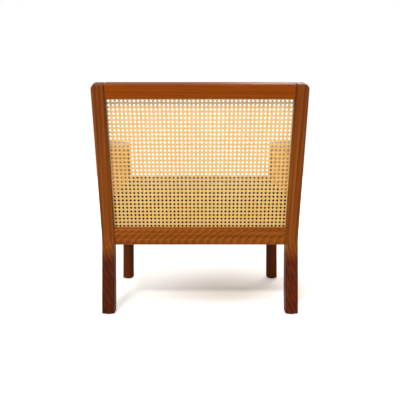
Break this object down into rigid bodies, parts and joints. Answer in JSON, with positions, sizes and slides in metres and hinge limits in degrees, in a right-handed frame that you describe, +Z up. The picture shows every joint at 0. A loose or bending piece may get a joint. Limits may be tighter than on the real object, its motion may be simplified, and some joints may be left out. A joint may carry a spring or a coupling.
{
  "type": "planters chair",
  "caption": "Low wooden easy chair with a leaning cane back, cane sides under level arms and a loose boxed seat cushion on rubber webbing.",
  "frame": {"origin": "on the floor under the middle of the chair's bounding box", "axes": "+Z up; the chair faces -Y and its back leans towards +Y; +X is the sitter's left"},
  "size_m": [0.66, 0.7514, 0.7621],
  "materials": {
    "teak": "satin",
    "cane": "satin",
    "reed": "matte",
    "webbing": "matte",
    "clip_steel": "satin",
    "glide_plastic": "satin",
    "cushion_fabric": "matte",
    "foam": "matte"
  },
  "bodies": {
    "frame": {"left_rear_post": "teak", "right_rear_post": "teak", "left_front_leg": "teak", "right_front_leg": "teak", "left_arm": "teak", "right_arm": "teak", "left_side_rail": "teak", "right_side_rail": "teak", "top_rail": "teak", "rear_seat_rail": "teak", "front_seat_rail": "teak", "back_cane": "cane", "left_side_cane": "cane", "right_side_cane": "cane", "back_cane_spline": "reed", "left_side_cane_spline": "reed", "right_side_cane_spline": "reed", "webbing_straps": "webbing", "left_webbing_clips": "clip_steel", "right_webbing_clips": "clip_steel", "foot_glides": "glide_plastic"},
    "cushion": {"seat_cushion_cover": "cushion_fabric", "seat_cushion_core": "foam"}
  },
  "joints": [
    {"name": "cushion_lift", "type": "slide", "parent": "frame", "child": "cushion", "axis": [0, 0, 1], "range_m": [0, 0.3]}
  ]
}
